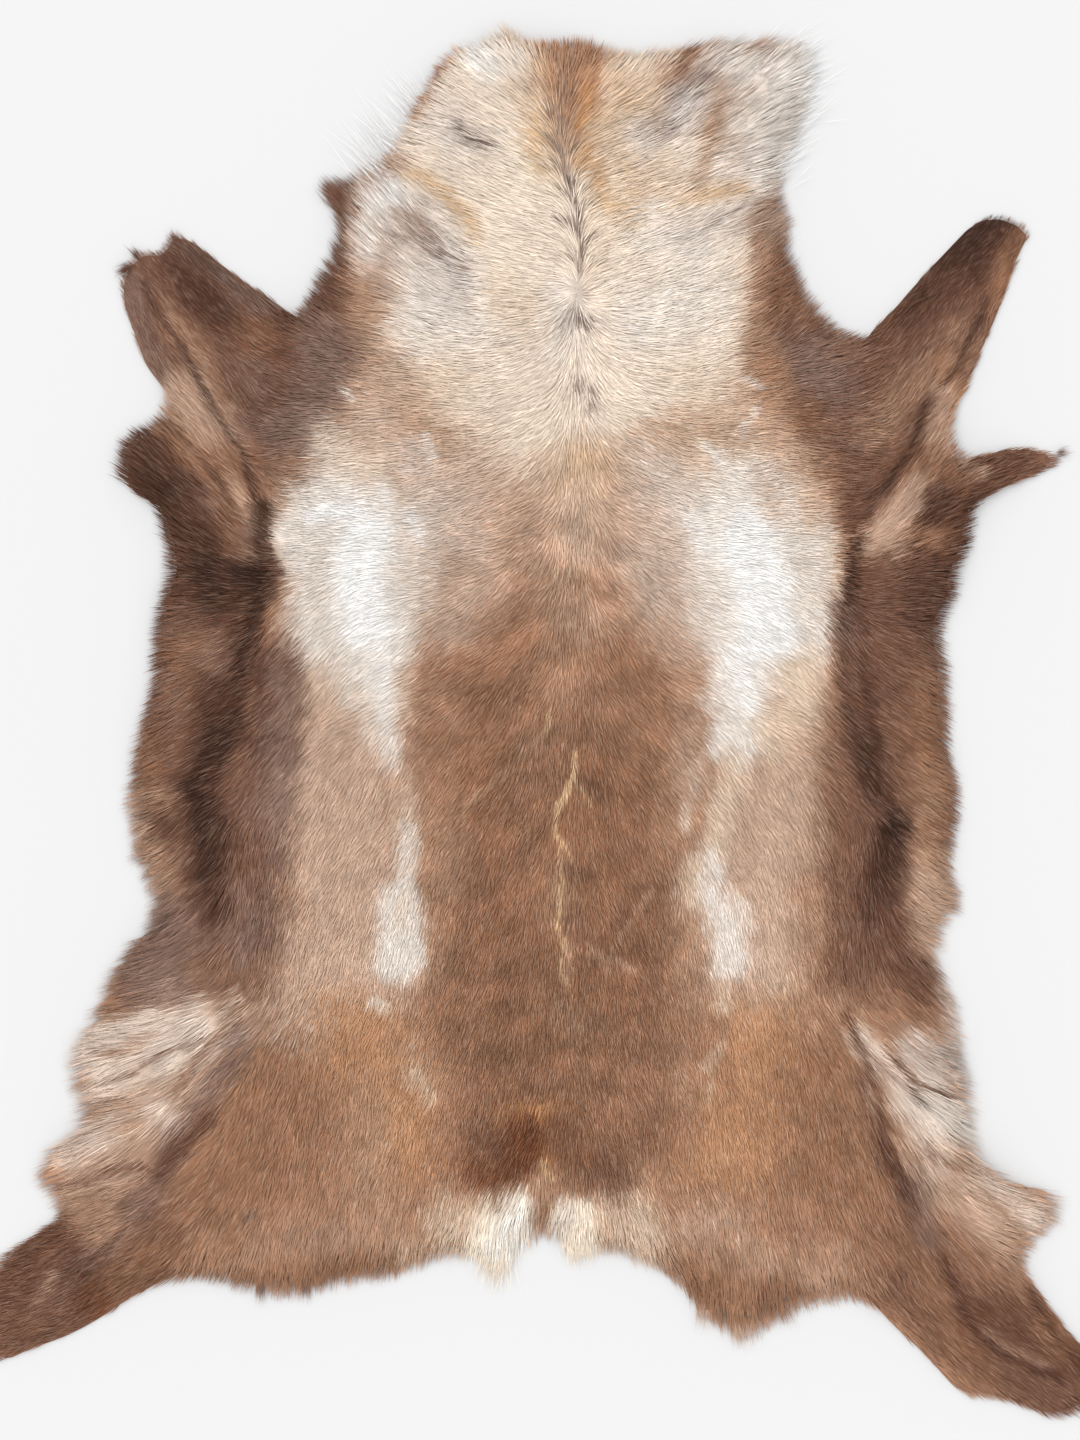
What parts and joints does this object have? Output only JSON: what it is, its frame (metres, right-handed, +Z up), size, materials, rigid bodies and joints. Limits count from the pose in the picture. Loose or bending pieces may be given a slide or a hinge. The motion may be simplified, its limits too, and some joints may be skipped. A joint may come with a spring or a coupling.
{
  "type": "reindeer hide",
  "caption": "Tanned animal hide with the hair on, spread flat as a floor rug or a seat cover, with neck, legs and tail in the outline.",
  "frame": {"origin": "on the floor under the middle of the hide's bounding box", "axes": "+X to the right seen from above with the neck at the top, +Y towards the neck, +Z up out of the hair side"},
  "size_m": [1.1342, 1.4032, 0.0348],
  "materials": {
    "coat": "hair on, matte"
  },
  "bodies": {
    "root": {"hide": "coat"}
  },
  "joints": []
}
